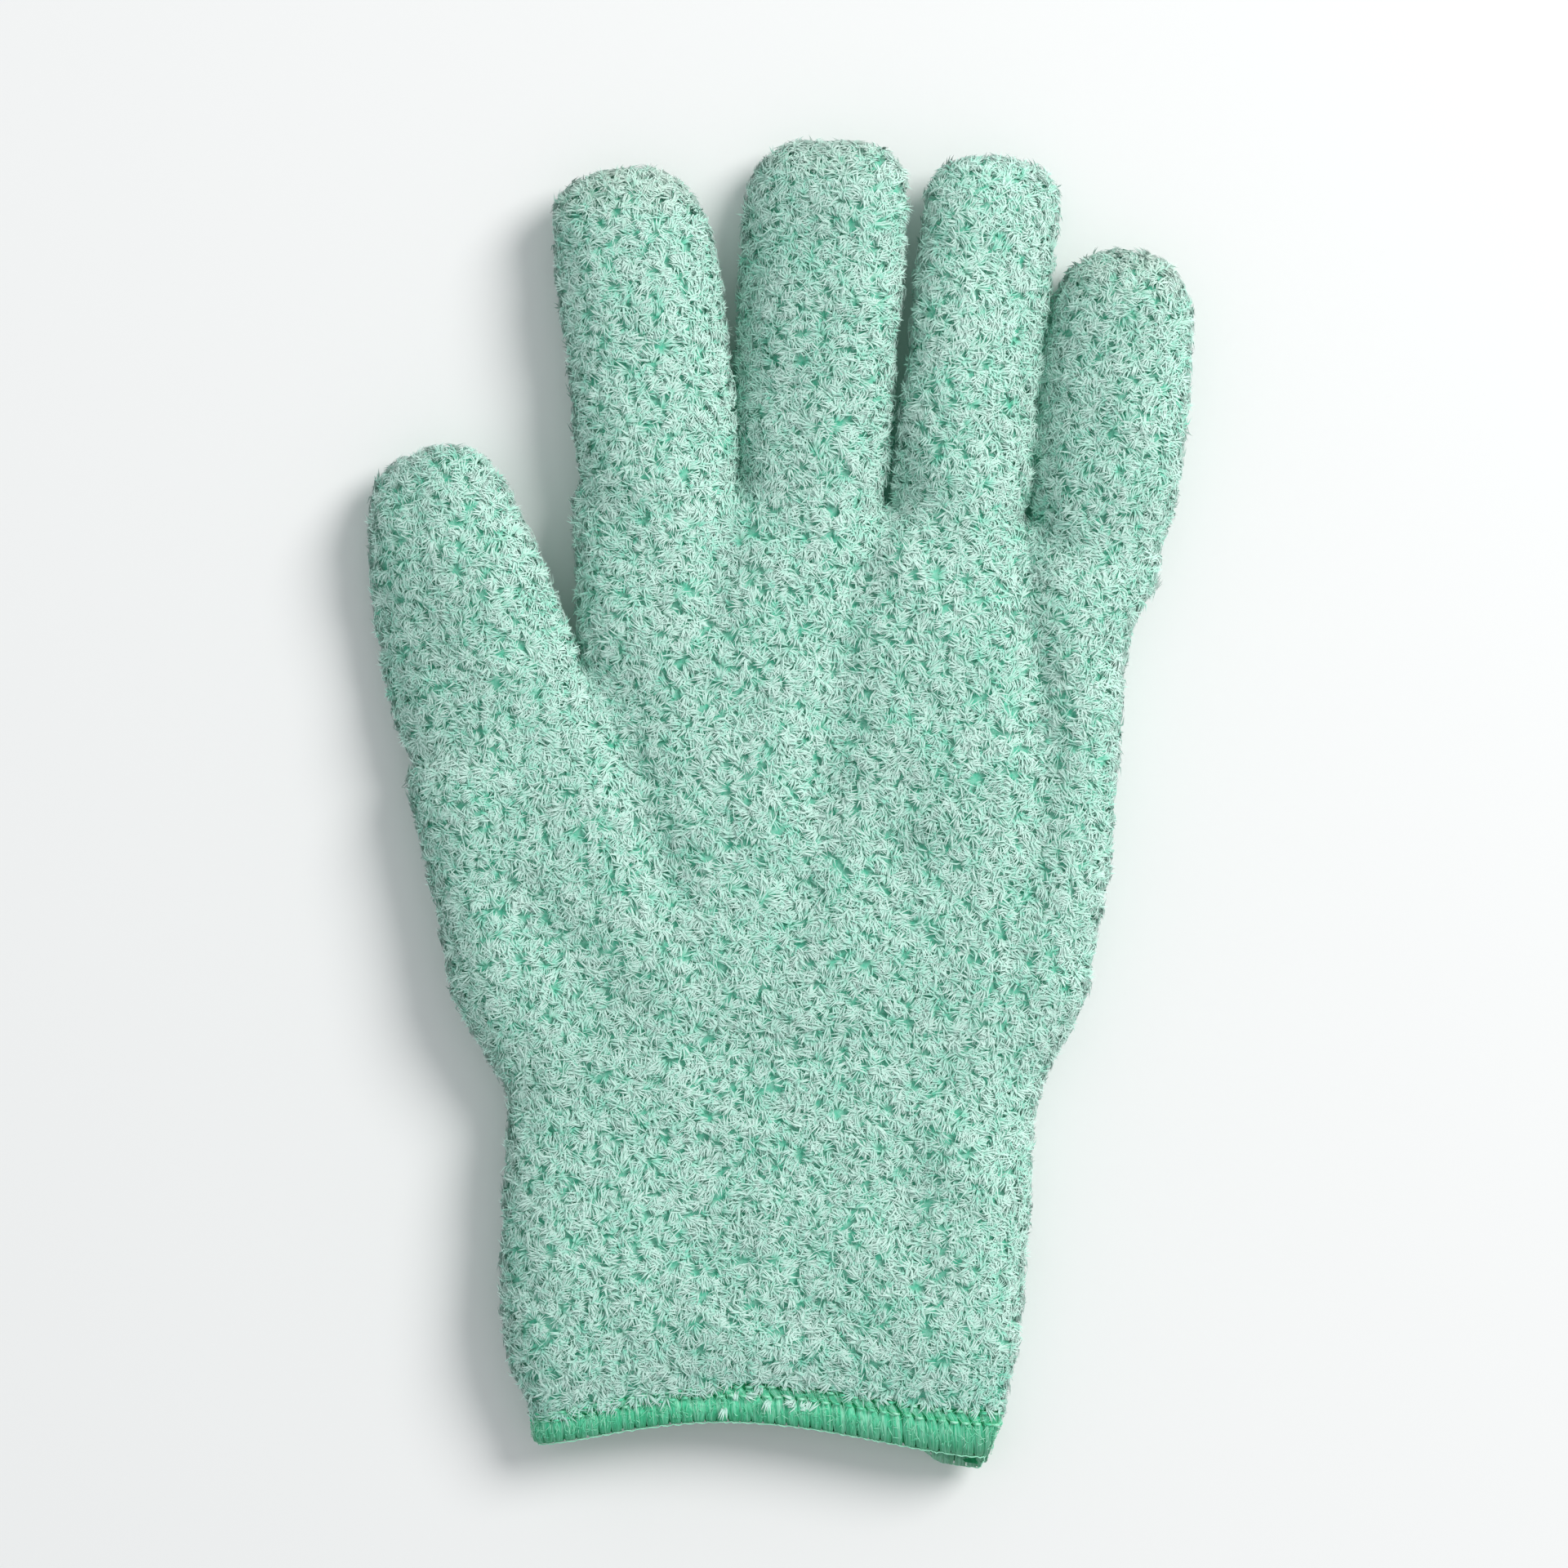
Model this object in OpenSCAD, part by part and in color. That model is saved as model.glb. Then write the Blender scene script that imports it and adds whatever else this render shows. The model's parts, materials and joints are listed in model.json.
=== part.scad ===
// Five-finger plush wash glove, lying flat with its palm side up.
// Origin: on the surface it lies on, under the middle of its outline.
// +Y points to the fingertips, +X to the little finger, +Z up. Millimetres.

/* [Fabric] */
// Thickness of the plush knit, ground and pile together
wall = 4.2; // [3:0.1:5]
// Gap between pieces that turn against each other
clearance = 0.35; // [0.3:0.05:1]

/* [Fingers: index, middle, ring, little] */
// Middle of each finger, where it leaves the palm
finger_x = [-21.4, 6.5, 32.9, 57.8]; // [-80:0.1:80]
// Lean of each finger to the right
finger_lean = [-5.5, 2.0, 5.0, 6.5]; // [-12:0.1:12]
// Width of each finger at its root
root_width = [28.0, 26.8, 24.2, 24.0]; // [20:0.1:34]
// Width of each finger where its tip begins to round
tip_width = [28.8, 30.6, 23.6, 27.0]; // [20:0.1:34]
// Length of each finger's rounded tip
tip_round = [15, 16, 12, 14]; // [10:0.5:20]
// Place of each finger's root bend
root_bend = [68, 68, 65.5, 62]; // [60:0.5:72]
// Place of each finger's middle bend
middle_bend = [91, 93.5, 90, 80.5]; // [78:0.5:96]
// Place of each fingertip
finger_end = [114.8, 120, 116.8, 99.6]; // [96:0.1:124]
// Thickness of a finger lying flat
finger_thickness = 17; // [14:0.5:20]

/* [Thumb] */
// Middle of the thumb's seam with the palm
thumb_root = [-50, 11.2]; // [-70:0.1:30]
// Lean of the thumb to the left
thumb_lean = 14; // [0:0.5:30]
// Width of the thumb at its root, its bend and where its tip begins to round
thumb_width = [37.0, 33.6, 31.0]; // [24:0.1:40]
// Shift of the thumb's middle to the left at the root, the bend and the tip
thumb_bow = [0, 1.2, -1.4]; // [-4:0.1:4]
// Distance from the thumb's seam to its two bends and its end
thumb_length = [14, 31.5, 53]; // [10:0.5:60]
// Length of the thumb's rounded tip
thumb_round = 17; // [12:0.5:20]

/* [Palm] */
// Place of the seam between the palm and the four fingers
palm_top = 48; // [44:0.5:50]
// Place of the crotch between the thumb and the index finger
thumb_crotch = [-32.4, 15.8]; // [-40:0.1:30]
// Thickness of the palm lying flat
palm_thickness = 17; // [14:0.5:20]

/* [Cuff] */
// Place of the fold at the wrist
wrist = -50; // [-54:0.5:-48]
// Thickness of the cuff lying flat
cuff_thickness = 15; // [13:0.5:16]
// Number of elastic yarns laid into the cuff
elastic_rows = 10; // [4:1:12]
// Diameter of the elastic yarn
elastic_yarn = 0.8; // [0.5:0.1:1.2]

/* [Hem] */
// Height of the overlocked band
hem_height = 7.5; // [5:0.5:9]
// Thickness of the hem, where the stitches squeeze the plush
hem_thickness = 11.2; // [11:0.1:12]
// Diameter of the overlock thread
thread = 0.5; // [0.4:0.05:0.8]
// Number of overlock stitches round the mouth
stitches = 84; // [40:2:100]

/* [Hidden] */
FINGERS = ["index", "middle", "ring", "little"];
DIGITS = concat(FINGERS, ["thumb"]);

mint = "#a5d6c6";
mint_shade = "#93cbb8";
elastic_white = "#e6efe9";
thread_green = "#45bd8c";

side_points = 10;       // points round each side of a tube
end_steps = [36, 54, 72, 90];  // angles round the rolled end at a bend
tip_steps = [0, 0.45, 0.75, 0.93];  // stations along a rounded tip
tip_close = 0.995;      // the last station, where the tip closes
lip = 0.3;              // gap between a finger's sides at its seam
tail_yarn = 1.8;        // diameter of the knotted yarn tail in a fingertip
tail_length = 9;
knot = 1.7 * tail_yarn;  // diameter of the tail's knot
turn = [0, 0, 1];

function backwards(list) = [for (i = [len(list) - 1 : -1 : 0]) list[i]];

// A ring of points in the plane y: flat above and below, round at the sides, with
// extra points on both flats at each x in breaks, from left to right.
function ring(y, left, right, half, z, breaks = []) =
    let (
        r = min(half, (right - left) / 2),
        step = 180 / (side_points - 1),
        side = [for (i = [0 : side_points - 1]) -90 + step * i]
    )
    concat(
        [for (a = side) [right - r + r * cos(a), y, z + half * sin(a)]],
        [for (x = backwards(breaks)) [x, y, z + half]],
        [for (a = side) [left + r - r * cos(a), y, z - half * sin(a)]],
        [for (x = breaks) [x, y, z - half]]
    );

// A closed solid through a chain of rings. A loop joins its last ring to its first.
module loft(rings, loop = false) {
    count = len(rings);
    n = len(rings[0]);
    spans = loop ? count : count - 1;
    sides = [for (k = [0 : spans - 1], i = [0 : n - 1])
        let (
            a = k * n + i,
            b = k * n + (i + 1) % n,
            c = ((k + 1) % count) * n + (i + 1) % n,
            d = ((k + 1) % count) * n + i
        )
        each [[a, b, c], [a, c, d]]
    ];
    first_cap = [for (i = [1 : n - 2]) [0, i + 1, i]];
    base = (count - 1) * n;
    last_cap = [for (i = [1 : n - 2]) [base, base + i, base + i + 1]];
    polyhedron(
        points = [for (r = rings) each r],
        faces = loop ? sides : concat(sides, first_cap, last_cap)
    );
}

// A station along a tube is [y, left, right, half thickness].
function station(s, inset, z, breaks = []) =
    ring(s[0], s[1] + inset, s[2] - inset, s[3] - inset, z, breaks);

// A tube open at both ends
module open_tube(stations, z) {
    outer = [for (s = stations) station(s, 0, z)];
    inner = [for (s = stations) station(s, wall, z)];
    loft(concat(outer, backwards(inner)), loop = true);
}

// Half thickness of a rolled end, where the angle runs from its edge to the axis
function rolled(angle) = finger_thickness / 2 * sin(angle);

// Outline of a finger at y: its left and right edge
function finger_edges(f, y) =
    let (
        round_start = finger_end[f] - tip_round[f],
        along = min(1, max(0, (y - palm_top) / (round_start - palm_top))),
        full = root_width[f] + (tip_width[f] - root_width[f]) * along,
        middle = finger_x[f] + tan(finger_lean[f]) * (y - palm_top)
    )
    [middle - full / 2, middle + full / 2];

// Outline of the thumb at a distance from its seam, in the thumb's own frame
function thumb_edges(y) =
    let (
        places = [0, thumb_length[1], thumb_length[2]],
        w = lookup(y, [for (i = [0 : 2]) [places[i], thumb_width[i]]]),
        bow = lookup(y, [for (i = [0 : 2]) [places[i], thumb_bow[i]]])
    )
    [-bow - w / 2, -bow + w / 2];

function edges(digit, y) = digit < len(FINGERS) ? finger_edges(digit, y) : thumb_edges(y);
function is_thumb(digit) = digit == len(FINGERS);
function start_of(digit) = is_thumb(digit) ? lip : palm_top + lip;
function bends_of(digit) = is_thumb(digit)
    ? [thumb_length[0], thumb_length[1]]
    : [root_bend[digit], middle_bend[digit]];
function end_of(digit) = is_thumb(digit) ? thumb_length[2] : finger_end[digit];
function round_of(digit) = is_thumb(digit) ? thumb_round : tip_round[digit];

function at(digit, y, half) =
    let (e = edges(digit, y))
    [y, e[0], e[1], half];

// The thumb's own frame stands on the middle of its seam with the palm.
module in_place(digit) {
    if (is_thumb(digit))
        translate([thumb_root[0], thumb_root[1], 0]) rotate(thumb_lean * turn) children();
    else
        children();
}

half_finger = finger_thickness / 2;
bend_room = half_finger + clearance;

// Stations of the rolled end that turns about a bend at y
function rolled_stations(digit, y) =
    [for (a = end_steps) at(digit, y - half_finger * cos(a), rolled(a))];

// The short stub between the palm's seam and the root bend
module finger_base(digit) {
    stations = [
        at(digit, start_of(digit), half_finger),
        at(digit, bends_of(digit)[0] - bend_room, half_finger)
    ];
    color(mint_shade) in_place(digit) open_tube(stations, half_finger);
}

// From the root bend to the middle bend, open at both ends
module root_section(digit) {
    bends = bends_of(digit);
    rolled_part = rolled_stations(digit, bends[0]);
    straight = [at(digit, bends[1] - bend_room, half_finger)];
    outer = [for (s = concat(rolled_part, straight)) station(s, 0, half_finger)];
    inner = [for (s = concat(rolled_part, straight)) hollow_ring(s)];
    color(mint) in_place(digit) loft(concat(outer, backwards(inner)), loop = true);
}

// The hollow keeps its height through a rolled end.
function hollow_ring(s, shrink = 1) =
    let (
        middle = (s[1] + s[2]) / 2,
        half_width = ((s[2] - s[1]) / 2 - wall) * shrink
    )
    ring(s[0], middle - half_width, middle + half_width, (half_finger - wall) * shrink, half_finger);

// From the middle bend to the closed tip
module tip_section(digit) {
    end = end_of(digit);
    cap = round_of(digit);
    rolled_part = rolled_stations(digit, bends_of(digit)[1]);
    outer = concat(
        [for (s = rolled_part) station(s, 0, half_finger)],
        [for (q = tip_steps) tip_ring(digit, end - cap, cap, q, false)],
        [tip_ring(digit, end - cap, cap, tip_close, false)]
    );
    inner = concat(
        [for (s = rolled_part) hollow_ring(s)],
        [for (q = tip_steps) tip_ring(digit, end - cap, cap - wall, q, true)]
    );
    color(mint) in_place(digit) loft(concat(backwards(inner), outer));
}

// A ring on a rounded tip: q runs from 0 at its start to 1 at the end.
function tip_ring(digit, start, cap, q, hollow) =
    let (
        s = at(digit, start + cap * q, half_finger),
        shrink = sqrt(1 - q * q),
        middle = (s[1] + s[2]) / 2,
        half_width = ((s[2] - s[1]) / 2) * shrink
    )
    hollow
        ? hollow_ring(s, shrink)
        : ring(s[0], middle - half_width, middle + half_width, half_finger * shrink, half_finger);

// The yarn's knotted end, tucked inside the fingertip against its end
module tip_yarn_tail(digit) {
    cap = round_of(digit);
    y = end_of(digit) - cap + (cap - wall) * tip_steps[len(tip_steps) - 1];
    e = edges(digit, y);
    color(mint_shade) in_place(digit)
        translate([(e[0] + e[1]) / 2, y, half_finger]) rotate([90, 0, 0]) union() {
            cylinder(h = tail_length, d = tail_yarn, $fn = 24);
            translate([0, 0, tail_length]) sphere(d = knot, $fn = 24);
        }
}

half_palm = palm_thickness / 2;
half_cuff = cuff_thickness / 2;

// The palm that the four fingers share, above the thumb's crotch
module upper_palm() {
    stations = [
        [thumb_crotch[1] + lip, -31.6, 62.2, half_palm],
        [thumb_crotch[1] + 15, -35.8, 63.2, half_palm],
        [palm_top - 7, -35.9, 66.4, half_palm],
        [palm_top, -35.6, 69.6, half_palm]
    ];
    color(mint) open_tube(stations, half_palm);
}

// Tips the part of a ring to the left of the thumb's crotch down, along the thumb's seam.
function along_thumb_seam(points, share) =
    [for (p = points) [p[0], p[1] + share * tan(thumb_lean) * min(0, p[0] - thumb_crotch[0]), p[2]]];

// The palm below the thumb's crotch, narrowing to the wrist
module lower_palm() {
    bottom = wrist + half_cuff + clearance;
    stations = [
        [bottom, -53.5, 50.2, half_cuff],
        [bottom + 8, -58.5, 55.0, half_palm],
        [bottom + 24, -63.0, 58.4, half_palm],
        [bottom + 38, -66.4, 60.3, half_palm],
        [thumb_crotch[1] - lip, -68.6, 62.0, half_palm]
    ];
    seam_share = [0, 0, 0.25, 0.6, 1];
    breaks = [thumb_crotch[0]];
    skins = [for (inset = [0, wall])
        [for (k = [0 : len(stations) - 1])
            along_thumb_seam(station(stations[k], inset, half_palm, breaks), seam_share[k])]
    ];
    color(mint) loft(concat(skins[0], backwards(skins[1])), loop = true);
}

half_hem = hem_thickness / 2;
hem_wall = 2;
hem_skin = 0.6;          // how far the hem's cloth lies inside the outline of its stitches
needle_gap = 2.2;        // between the two needle lines

// The mouth's edge rises in an arch across the cuff.
mouth_left = -45.2;
mouth_right = 39.8;
mouth_low = -118.0;
mouth_tilt = -0.028;
mouth_arch = 5;
function mouth_y(x) =
    let (u = min(1, max(0, (x - mouth_left) / (mouth_right - mouth_left))))
    mouth_low + mouth_tilt * (x - mouth_left) + mouth_arch * pow(sin(180 * pow(u, 0.85)), 1.6);

// Moves a ring's points up from the mouth's edge, and follows its arch.
function along_mouth(points, up) = [for (p = points) [p[0], mouth_y(p[0]) + up, p[2]]];

// Left and right side of the cuff, from the wrist down: [y, x]
cuff_left = [[wrist - 56, -47.6], [wrist - 44, -49.2], [wrist - 22, -50.0], [wrist, -49.8]];
cuff_right = [[wrist - 56, 42.0], [wrist - 44, 43.4], [wrist - 22, 45.2], [wrist, 47.0]];
mouth_breaks = [for (k = [1 : 7]) mouth_left + (mouth_right - mouth_left) * k / 8];

function cuff_ring(y, half, inset) = ring(
    y, lookup(y, cuff_left) + inset, lookup(y, cuff_right) - inset, half, half_cuff, mouth_breaks
);

function hem_ring(up, inset) = along_mouth(
    ring(0, mouth_left + inset, mouth_right - inset, half_hem - inset, half_cuff, mouth_breaks), up
);

// One skin of the cuff, from its rolled end at the wrist down to its mouth
function cuff_skin(inset, hem_inset) = concat(
    [for (a = [44, 60, 75, 90])
        cuff_ring(wrist + half_cuff * cos(a), inset > 0 ? half_cuff - inset : half_cuff * sin(a), inset)],
    [for (y = [wrist - 22, wrist - 44, wrist - 56]) cuff_ring(y, half_cuff - inset, inset)],
    [for (up = [hem_height + 0.8, 1]) hem_ring(up, hem_inset)]
);

module cuff() {
    outer = cuff_skin(0, hem_skin);
    inner = cuff_skin(wall, hem_skin + hem_wall);
    color(mint) loft(concat(backwards(outer), inner), loop = true);
}

// A thread or yarn swept along closed points: its section has four corners.
module closed_thread(points, across, d) {
    count = len(points);
    loft([for (k = [0 : count - 1])
        let (
            p = points[k],
            ahead = points[(k + 1) % count] - points[(k + count - 1) % count],
            t = ahead / norm(ahead),
            side = cross(t, across[k]),
            s = side / norm(side),
            u = cross(s, t)
        )
        [for (i = [0 : 3]) p + d / 2 * (cos(90 * i) * u + sin(90 * i) * s)]
    ], loop = true);
}

// The point a share f of the way round a flat oval, and its outward direction
function oval_point(left, right, half, f) =
    let (
        r = half,
        flat = (right - left) - 2 * r,
        arc = PI * r,
        whole = 2 * flat + 2 * arc,
        d = f * whole
    )
    d < flat ? [[left + r + d, -r], [0, -1]]
    : d < flat + arc ?
        let (a = -90 + (d - flat) / arc * 180)
        [[right - r + r * cos(a), r * sin(a)], [cos(a), sin(a)]]
    : d < 2 * flat + arc ? [[right - r - (d - flat - arc), r], [0, 1]]
    :
        let (a = 90 + (d - 2 * flat - arc) / arc * 180)
        [[left + r + r * cos(a), r * sin(a)], [cos(a), sin(a)]];

// The elastic yarns lie against the inside of the cuff, one above the other.
module cuff_elastic() {
    pitch = 5;
    steps = 36;
    inset = wall + elastic_yarn / 2 + 0.3;
    color(elastic_white)
        for (row = [0 : elastic_rows - 1]) {
            y = wrist - 4 - row * pitch;
            round_trip = [for (k = [0 : steps - 1]) oval_point(
                lookup(y, cuff_left) + inset, lookup(y, cuff_right) - inset, half_cuff - inset, k / steps
            )];
            closed_thread(
                [for (p = round_trip) [p[0][0], y, half_cuff + p[0][1]]],
                [for (p = round_trip) [p[1][0], 0, p[1][1]]],
                elastic_yarn
            );
        }
}

// An overlock thread round the mouth. ups are the heights of a stitch's points above the
// mouth's edge, and out is how far they stand from the middle of the hem's wall.
module hem_thread(ups, out) {
    per_stitch = len(ups);
    count = stitches * per_stitch;
    inset = hem_skin + hem_wall / 2;
    round_trip = [for (k = [0 : count - 1])
        oval_point(mouth_left + inset, mouth_right - inset, half_hem - inset, k / count)];
    closed_thread(
        [for (k = [0 : count - 1])
            let (p = round_trip[k])
            [
                p[0][0] + out * p[1][0],
                mouth_y(p[0][0]) + ups[k % per_stitch],
                half_cuff + p[0][1] + out * p[1][1]
            ]
        ],
        [for (p = round_trip) [p[1][0], 0, p[1][1]]],
        thread
    );
}

// A looper's thread runs from the edge up to the needle line and back in each stitch.
looper_low = 0.6;        // its lowest and highest point, from the edge and the needle line
looper_high = hem_height - 0.3;
looper_ups = [looper_low, hem_height / 2, looper_high, hem_height / 2];
thread_gap = 0.1;        // keeps the threads clear of each other and of the cloth
on_face = hem_wall / 2 + thread / 2 + thread_gap;

module hem_left_needle_thread() {
    color(thread_green) hem_thread([hem_height], on_face + thread + thread_gap);
}

module hem_right_needle_thread() {
    color(thread_green) hem_thread([hem_height - needle_gap], on_face + thread + thread_gap);
}

// The upper looper's thread runs over the outer face.
module hem_upper_looper_thread() {
    color(thread_green) hem_thread(looper_ups, on_face);
}

// The lower looper's thread runs over the inner face.
module hem_lower_looper_thread() {
    color(thread_green) hem_thread(looper_ups, -on_face);
}

for (digit = [0 : len(DIGITS) - 1]) {
    finger_base(digit);
    root_section(digit);
    tip_section(digit);
    tip_yarn_tail(digit);
}
upper_palm();
lower_palm();
cuff();
cuff_elastic();
hem_left_needle_thread();
hem_right_needle_thread();
hem_upper_looper_thread();
hem_lower_looper_thread();
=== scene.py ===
"""A plush five-finger wash glove, lying flat on a pale table with its palm side up.

Lengths in this script are in millimetres until they become mesh vertices, in metres.
The knitted skin is lofted round the frame's bends, softened as cloth, joined and cut
into pieces. The pile is real tufts on that skin, and the hem is real thread.
"""

import json
import math

import bmesh
import bpy
import numpy as np
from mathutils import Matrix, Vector, noise
from mathutils.bvhtree import BVHTree


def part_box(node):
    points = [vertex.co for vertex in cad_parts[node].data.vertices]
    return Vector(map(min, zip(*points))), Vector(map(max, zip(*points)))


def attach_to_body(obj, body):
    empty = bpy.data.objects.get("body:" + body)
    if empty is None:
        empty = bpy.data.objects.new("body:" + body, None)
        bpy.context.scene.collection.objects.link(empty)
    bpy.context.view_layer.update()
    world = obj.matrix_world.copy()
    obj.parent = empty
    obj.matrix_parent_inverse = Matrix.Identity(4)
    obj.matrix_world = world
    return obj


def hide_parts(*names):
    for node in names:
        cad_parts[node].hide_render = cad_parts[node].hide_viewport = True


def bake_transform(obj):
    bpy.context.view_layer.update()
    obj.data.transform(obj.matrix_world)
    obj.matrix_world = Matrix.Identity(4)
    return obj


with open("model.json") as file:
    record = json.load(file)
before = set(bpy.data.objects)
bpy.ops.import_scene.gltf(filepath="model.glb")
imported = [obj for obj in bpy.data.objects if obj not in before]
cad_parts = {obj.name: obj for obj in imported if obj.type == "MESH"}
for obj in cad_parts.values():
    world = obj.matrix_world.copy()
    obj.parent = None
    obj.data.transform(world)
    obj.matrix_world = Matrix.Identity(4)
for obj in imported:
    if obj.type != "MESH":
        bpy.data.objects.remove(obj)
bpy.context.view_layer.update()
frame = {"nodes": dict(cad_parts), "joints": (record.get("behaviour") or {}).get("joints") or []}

MM = 0.001
rng = np.random.default_rng(20)

# ---------------------------------------------------------------- places from the frame

JOINTS = {joint["name"]: joint for joint in frame["joints"]}


def joint_place(name):
    """A joint's place in mm."""
    return np.array(JOINTS[name]["pos_m"]) / MM


def node_box(name):
    """A CAD node's lowest and highest corner in mm."""
    low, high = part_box(name)
    return np.array(low) / MM, np.array(high) / MM


WRIST_Y = joint_place("wrist_bend")[1]

# ---------------------------------------------------------------- sizes of the cloth

PILE = 1.3           # how far the pile stands out from the knitted skin at an edge
DIGIT_INSET = 0.4    # the digits' forms lie this far inside the glove's outline
PALM_INSET = -0.9    # and the palm's this far, as smoothing draws its thin edges in
SKIN = 2.2           # thickness of the knitted skin
MIDDLE_Z = 7.7       # height of the glove's middle above the table
TOP = 7.0            # skin above the middle
DIGIT_TOP = 8.0      # skin above the middle in the digits, which are rounder
BOTTOM = 5.9         # skin below the middle
FLOOR_GAP = 1.5      # the pile under the skin holds it this far off the table
HEM_HEIGHT = 7.4     # usual width of the hem
HEM_HALF = 3.9       # half thickness of the glove at its hem
VOXEL = 1.10         # size of the skin's faces, and so the tufts' spacing
TIP_PROUD = 0.8      # the pile stands this far past the CAD's fingertip
TIP_POWER = 2.3      # how square the tips' outline is
SIDE_SQUARENESS = 2.3  # 2 would make a digit's section an oval
TOP_SQUARENESS = 2.2
TIP_DOME = 13        # length in which a digit's thickness rounds into its tip
TIP_RUN = 14         # length in which the form's sections lie close together
BEND_REACH = 11.0    # the cloth is cut into pieces this far from the wrist and root bends

# Each digit: stations along it from its root bend, as [distance, left, right] from its
# middle line to its outline; the lengths in which its left and right side round into the
# tip; how far it is rolled over; how soiled its tip is.
DIGITS = {
    "index": dict(
        sides=[(-10, 14.1, 15.4), (10, 14.0, 15.0), (30, 14.6, 14.5)], tip=(10, 23), roll=4, soil=0.9),
    "middle": dict(
        sides=[(-10, 14.3, 12.9), (6, 15.8, 13.6), (18, 16.2, 14.0), (40, 15.2, 14.9)], tip=(14, 10),
        roll=-19, soil=0.5),
    "ring": dict(
        sides=[(-8, 13.8, 12.0), (8, 12.9, 12.2), (25, 12.4, 12.6), (40, 11.8, 12.4)], tip=(9, 6),
        roll=20, soil=0.05),
    "little": dict(
        sides=[(-11, 12.3, 12.8), (0, 12.8, 13.4), (16, 13.2, 13.6), (22, 12.8, 12.9)], tip=(15, 15),
        roll=-12, soil=0.8),
    "thumb": dict(
        sides=[(-12, 18.9, 17.7), (4, 18.2, 16.4), (20, 15.8, 14.6), (30, 12.9, 12.8)], tip=(13, 13),
        roll=-12, soil=0.1),
}

# The palm and the cuff: [y, left, right, share of the full thickness, shear of the section]
PALM = [
    (-124.0, -45.6, 40.3, 0.55, 0),
    (-117.0, -45.6, 40.3, 0.55, 0),
    (-112.0, -46.2, 40.6, 0.60, 0),
    (-107.0, -47.8, 41.4, 0.80, 0),
    (-101.0, -49.5, 42.8, 0.93, 0),
    (-89.0, -50.4, 43.8, 0.98, 0),
    (-77.5, -50.0, 45.0, 1.0, 0),
    (-65.5, -49.8, 45.8, 0.97, 0),
    (-57.0, -49.2, 46.6, 0.92, 0),
    (-52.0, -50.0, 47.6, 0.88, 0),
    (-47.8, -52.4, 49.0, 0.90, 0),
    (-42.0, -56.3, 52.8, 0.95, 0),
    (-36.0, -59.4, 55.4, 1.0, 0),
    (-24.0, -61.8, 57.8, 1.04, 0),
    (-12.0, -64.5, 59.6, 1.06, 0),
    (0.0, -67.2, 60.6, 1.06, 0),
    (7.0, -67.4, 61.6, 1.06, 0),
    (14.0, -50.0, 62.4, 1.03, 0.1),
    (19.0, -35.0, 62.2, 1.0, 0),
    (30.0, -35.8, 63.1, 1.0, 0),
    (41.0, -35.9, 66.8, 0.98, -0.05),
    (48.0, -36.0, 69.2, 0.92, -0.10),
    (53.5, -35.6, 69.6, 0.7, -0.13),
    (56.5, -34.0, 66.0, 0.35, -0.13),
]


class Spine:
    """A digit's middle line, from its two bends to its tip."""

    def __init__(self, name):
        self.facts = DIGITS[name]
        self.root = joint_place(name + "_root_bend")[:2]
        self.middle = joint_place(name + "_middle_bend")[:2]
        along = self.middle - self.root
        self.gap = float(np.linalg.norm(along))
        self.along = along / self.gap
        self.across = np.array([self.along[1], -self.along[0]])
        high = node_box(name + "_tip_section")[1]
        self.end = float((high[1] - self.root[1]) / self.along[1]) + TIP_PROUD
        self.half_gap = self.gap / 2

    def point(self, s, side=0.0):
        return self.root + self.along * s + self.across * side

    def sides(self, s):
        """Distance from the middle line to the outline on the left and on the right."""
        at, left, right = zip(*self.facts["sides"])
        halves = []
        for widths, length in zip((left, right), self.facts["tip"]):
            q = np.clip((s - self.end + length) / length, 0, 1)
            halves.append(np.interp(s, at, widths) * (1 - q ** TIP_POWER) ** (1 / TIP_POWER))
        return halves


SPINES = {name: Spine(name) for name in DIGITS}

# ---------------------------------------------------------------- the mouth's edge

MOUTH_LEFT = -45.2
MOUTH_RIGHT = 39.8
MOUTH_FLAT = -117.0      # the mouth's edge before the arch bends it
MOUTH_LOW = -117.2       # the edge's left end
MOUTH_TILT = -0.028      # its slope towards the right
MOUTH_ARCH = 5.4         # how far its middle is drawn up
MOUTH_REACH = 26         # cloth this far above the edge is drawn up with it
LOWER_LAYER_DROP = 2.4   # how far the lower layer hangs below the upper one at the corner
CORNER_START = 24        # the lower layer starts to drop here,
CORNER_RUN = 6           # and has dropped this far on
LAYER_SPLIT = MIDDLE_Z - 0.4
LAYER_BLEND = 1.5        # height over which one layer's edge turns into the other's


def eased(share):
    """A share from 0 to 1, with a gentle start and end."""
    share = np.clip(share, 0, 1)
    return share ** 2 * (3 - 2 * share)


def mouth_y(x):
    """The cloth's edge rises in an arch across the mouth; the hem's thread lies below it."""
    u = np.clip((x - MOUTH_LEFT) / (MOUTH_RIGHT - MOUTH_LEFT), 0, 1)
    arch = np.sin(np.pi * u ** 0.85) ** 1.6
    return MOUTH_LOW + MOUTH_TILT * (x - MOUTH_LEFT) + MOUTH_ARCH * arch


def edge_y(x, z):
    """The cloth's edge, with the lower layer hanging a little lower towards the right corner."""
    below = np.clip((LAYER_SPLIT - z) / LAYER_BLEND, 0, 1)
    return mouth_y(x) - LOWER_LAYER_DROP * below * eased((x - CORNER_START) / CORNER_RUN)


def hem_width(x):
    """The hem's width, which grows from left to right."""
    return np.interp(x, (-45, -20, 0, 38), (5.4, 6.0, 6.8, 8.2))


def pile_start(x):
    """The pile starts this far above the cloth's edge, and hides some of the hem at the left."""
    return hem_width(x) + np.interp(x, (-45, -22, 2, 38), (-1.1, -0.7, 0.5, 0.7))


# ---------------------------------------------------------------- small mesh helpers


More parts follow.
